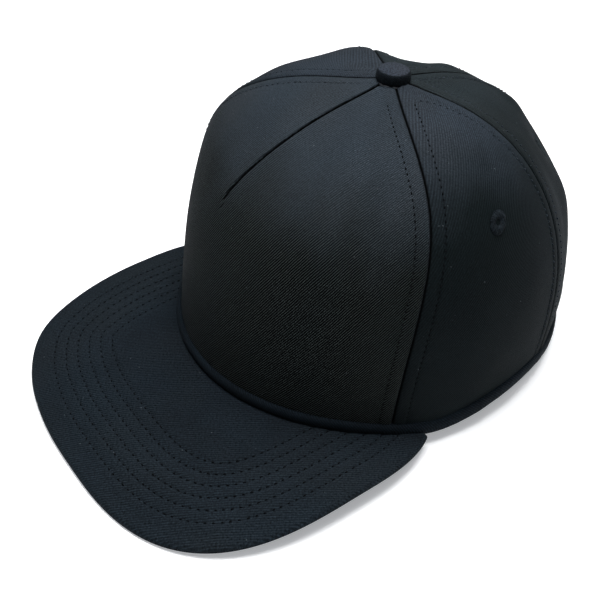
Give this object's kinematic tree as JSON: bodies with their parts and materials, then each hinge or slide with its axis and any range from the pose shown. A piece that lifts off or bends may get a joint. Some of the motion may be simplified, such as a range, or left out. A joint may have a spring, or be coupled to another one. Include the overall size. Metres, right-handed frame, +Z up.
{
  "type": "bump cap",
  "caption": "Flat-peak textile cap with a snap-adjusted back and a removable padded hard shell inside, for protection against light head bumps.",
  "frame": {"origin": "on the surface the cap rests on, under the middle of its box", "axes": "+Z up, -Y towards the peak, +X towards the wearer's left"},
  "size_m": [0.1906, 0.2736, 0.1382],
  "materials": {
    "crown_fabric": "black cotton twill, matt with a soft sheen",
    "peak_fabric": "black cotton twill stretched over a board",
    "rim_fabric": "black twill rolled over the edge",
    "button_fabric": "black twill over a dome",
    "eyelet_thread": "black embroidery thread",
    "seam_tape": "black woven tape",
    "buckram": "off-white stiffened mesh",
    "band_fabric": "black cotton",
    "band_foam": "open foam",
    "label": "blank woven label",
    "loop_tape": "loop side of a hook-and-loop patch",
    "hook_tape": "hook side of a hook-and-loop patch",
    "board_plastic": "white polyethylene sheet",
    "strap_plastic": "black moulded plastic",
    "shell_plastic": "dark moulded ABS",
    "pad_foam": "closed-cell foam",
    "button_metal": "stamped steel"
  },
  "bodies": {
    "insert": {"hard_shell": "shell_plastic", "shell_hook_patch": "hook_tape", "crown_pad": "pad_foam", "front_pad": "pad_foam", "rear_pad": "pad_foam", "left_pad": "pad_foam", "right_pad": "pad_foam"},
    "cap": {"front_panel": "crown_fabric", "left_side_panel": "crown_fabric", "right_side_panel": "crown_fabric", "left_rear_panel": "crown_fabric", "right_rear_panel": "crown_fabric", "front_buckram": "buckram", "dart_tape": "seam_tape", "left_front_tape": "seam_tape", "right_front_tape": "seam_tape", "left_rear_tape": "seam_tape", "right_rear_tape": "seam_tape", "centre_back_tape": "seam_tape", "button_cover": "button_fabric", "button_shell": "button_metal", "button_prong": "button_metal", "left_side_eyelet": "eyelet_thread", "right_side_eyelet": "eyelet_thread", "left_rear_eyelet": "eyelet_thread", "right_rear_eyelet": "eyelet_thread", "rim_roll": "rim_fabric", "arch_binding": "rim_fabric", "sweatband_backing": "band_fabric", "sweatband_foam": "band_foam", "sweatband_lining": "band_fabric", "care_label": "label", "crown_loop_patch": "loop_tape", "peak_top_cover": "peak_fabric", "peak_board": "board_plastic", "peak_under_cover": "peak_fabric", "hole_strap_root": "strap_plastic", "peg_strap_root": "strap_plastic"},
    "hole_strap": {"hole_strap_end": "strap_plastic"},
    "peg_strap": {"peg_strap_end": "strap_plastic"}
  },
  "joints": [
    {"name": "shell_pull", "type": "slide", "parent": "insert", "child": "cap", "axis": [0, 0.0685, 0.9977], "range_m": [0, 0.15]},
    {"name": "hole_strap_flex", "type": "hinge", "parent": "cap", "child": "hole_strap", "pos_m": [0.027, 0.13332, 0.01529], "axis": [0, -0.0685, -0.9977], "range_deg": [0, 65], "stiffness_Nm_per_rad": 0.004},
    {"name": "peg_strap_flex", "type": "hinge", "parent": "cap", "child": "peg_strap", "pos_m": [-0.027, 0.13167, 0.0154], "axis": [0, -0.0685, -0.9977], "range_deg": [0, 25], "stiffness_Nm_per_rad": 0.004}
  ]
}
